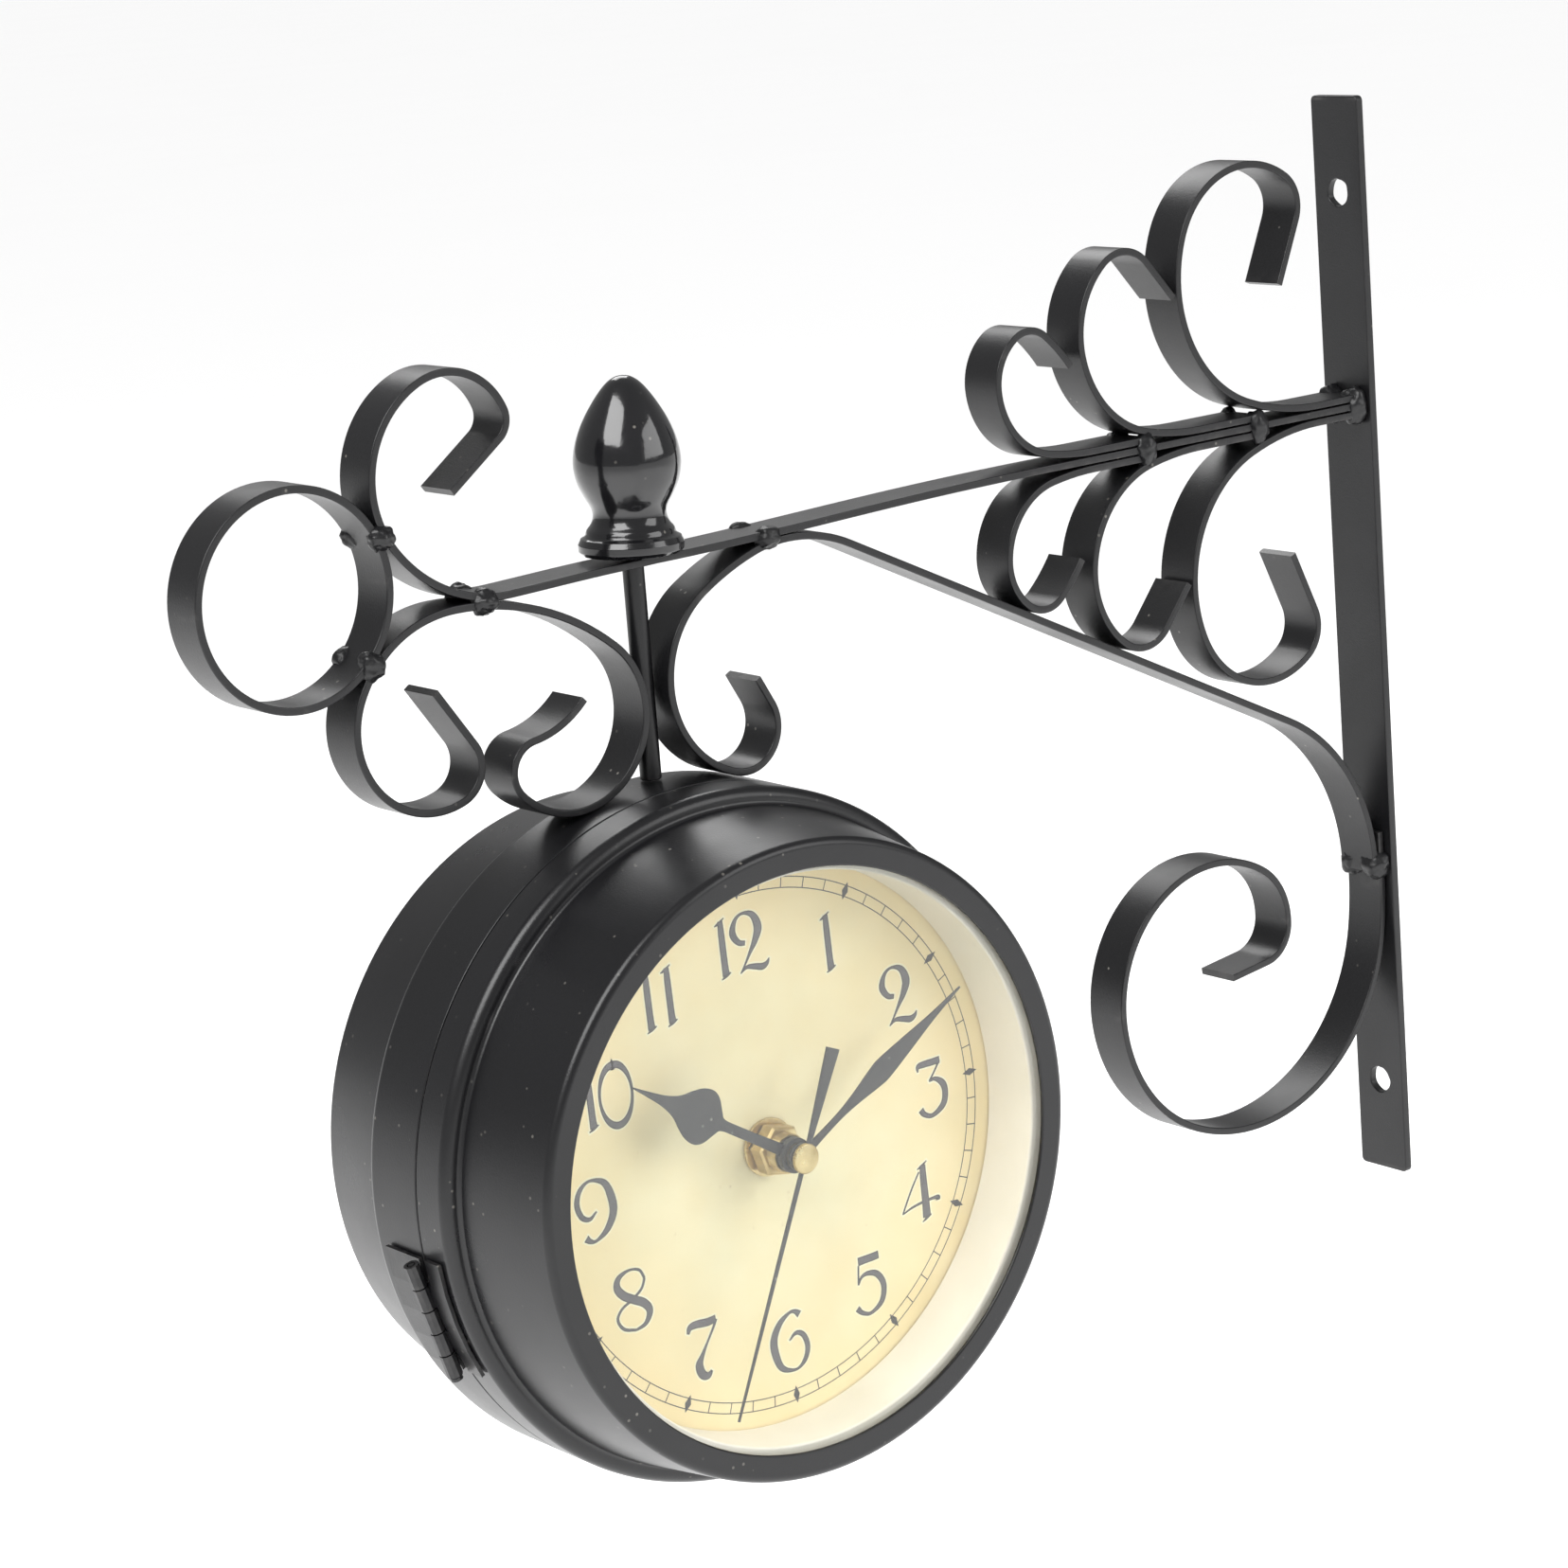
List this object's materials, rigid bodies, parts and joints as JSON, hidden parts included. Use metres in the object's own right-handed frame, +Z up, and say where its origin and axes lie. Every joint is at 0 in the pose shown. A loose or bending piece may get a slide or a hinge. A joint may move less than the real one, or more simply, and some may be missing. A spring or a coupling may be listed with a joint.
{
  "type": "double sided station clock",
  "caption": "Wall-bracket clock with a dial on both sides of a round drum case, hung from a scrolled steel arm; the front half opens as a door and the hands turn.",
  "frame": {"origin": "centre of the wall plate's back face, on the wall", "axes": "+X out of the back face into the wall, so the arm reaches along -X; +Z up; the front dial faces -Y"},
  "size_m": [0.3052, 0.0773, 0.2589],
  "materials": {
    "black_steel": "satin black powder coat on steel",
    "gloss_black": "glossy black paint",
    "clear_glass": "clear flat glass",
    "off_white": "off-white moulded spacer",
    "dial_cream": "aged cream printed card, matt",
    "zinc": "zinc plated steel",
    "dark_plastic": "black moulded plastic",
    "white_plastic": "white moulded acetal",
    "brass": "turned brass",
    "hand_black": "dark grey matt paint on sheet",
    "battery_can": "plain coloured cell jacket"
  },
  "bodies": {
    "bracket": {"wall_plate": "black_steel", "arm_bar": "black_steel", "end_ring": "black_steel", "double_scroll": "black_steel", "brace_bar": "black_steel", "wall_spiral": "black_steel", "upper_scroll_large": "black_steel", "lower_scroll_large": "black_steel", "upper_scroll_medium": "black_steel", "lower_scroll_medium": "black_steel", "upper_scroll_small": "black_steel", "lower_scroll_small": "black_steel", "hanger_rod": "black_steel", "finial": "gloss_black", "rear_case": "black_steel", "rear_glass": "clear_glass", "rear_reveal_ring": "off_white", "rear_dial": "dial_cream", "rear_dial_clip": "zinc", "rear_movement_case": "dark_plastic", "rear_battery": "battery_can", "rear_shaft_bush": "brass", "rear_dial_washer": "brass", "rear_hex_nut": "brass", "hinge_leaf_fixed": "black_steel", "hinge_pin": "black_steel", "catch_magnet": "zinc"},
    "door": {"front_case": "black_steel", "front_glass": "clear_glass", "front_reveal_ring": "off_white", "front_dial": "dial_cream", "front_dial_clip": "zinc", "front_movement_case": "dark_plastic", "front_battery": "battery_can", "front_shaft_bush": "brass", "front_dial_washer": "brass", "front_hex_nut": "brass", "hinge_leaf_door": "black_steel", "catch_keeper": "zinc"},
    "front_minute": {"front_minute_hand": "hand_black", "front_minute_arbor": "brass"},
    "front_hour": {"front_hour_hand": "hand_black", "front_hour_pipe": "white_plastic"},
    "front_second": {"front_second_hand": "hand_black"},
    "front_setter": {"front_set_knob": "dark_plastic"},
    "rear_minute": {"rear_minute_hand": "hand_black", "rear_minute_arbor": "brass"},
    "rear_hour": {"rear_hour_hand": "hand_black", "rear_hour_pipe": "white_plastic"},
    "rear_second": {"rear_second_hand": "hand_black"},
    "rear_setter": {"rear_set_knob": "dark_plastic"}
  },
  "joints": [
    {"name": "door_hinge", "type": "hinge", "parent": "bracket", "child": "door", "pos_m": [-0.2725, -0.0105, -0.08403], "axis": [0.2924, 0, -0.9563], "range_deg": [0, 115]},
    {"name": "front_minute_turn", "type": "hinge", "parent": "door", "child": "front_minute", "pos_m": [-0.2025, -0.00675, -0.06263], "axis": [0, 1, 0], "continuous": true},
    {"name": "front_hour_turn", "type": "hinge", "parent": "door", "child": "front_hour", "pos_m": [-0.2025, -0.00675, -0.06263], "axis": [0, 1, 0], "continuous": true},
    {"name": "front_second_turn", "type": "hinge", "parent": "door", "child": "front_second", "pos_m": [-0.2025, -0.00675, -0.06263], "axis": [0, 1, 0], "continuous": true},
    {"name": "front_knob_turn", "type": "hinge", "parent": "door", "child": "front_setter", "pos_m": [-0.2175, -0.00675, -0.04863], "axis": [0, 1, 0], "continuous": true},
    {"name": "rear_minute_turn", "type": "hinge", "parent": "bracket", "child": "rear_minute", "pos_m": [-0.2025, -0.00675, -0.06263], "axis": [0, -1, 0], "continuous": true},
    {"name": "rear_hour_turn", "type": "hinge", "parent": "bracket", "child": "rear_hour", "pos_m": [-0.2025, -0.00675, -0.06263], "axis": [0, -1, 0], "continuous": true},
    {"name": "rear_second_turn", "type": "hinge", "parent": "bracket", "child": "rear_second", "pos_m": [-0.2025, -0.00675, -0.06263], "axis": [0, -1, 0], "continuous": true},
    {"name": "rear_knob_turn", "type": "hinge", "parent": "bracket", "child": "rear_setter", "pos_m": [-0.1875, -0.00675, -0.04863], "axis": [0, -1, 0], "continuous": true}
  ],
  "couplings": [
    {"joint": "front_hour_turn", "follows": "front_minute_turn", "ratio": 0.083333},
    {"joint": "front_knob_turn", "follows": "front_minute_turn", "ratio": 1},
    {"joint": "rear_hour_turn", "follows": "rear_minute_turn", "ratio": 0.083333},
    {"joint": "rear_knob_turn", "follows": "rear_minute_turn", "ratio": 1}
  ]
}
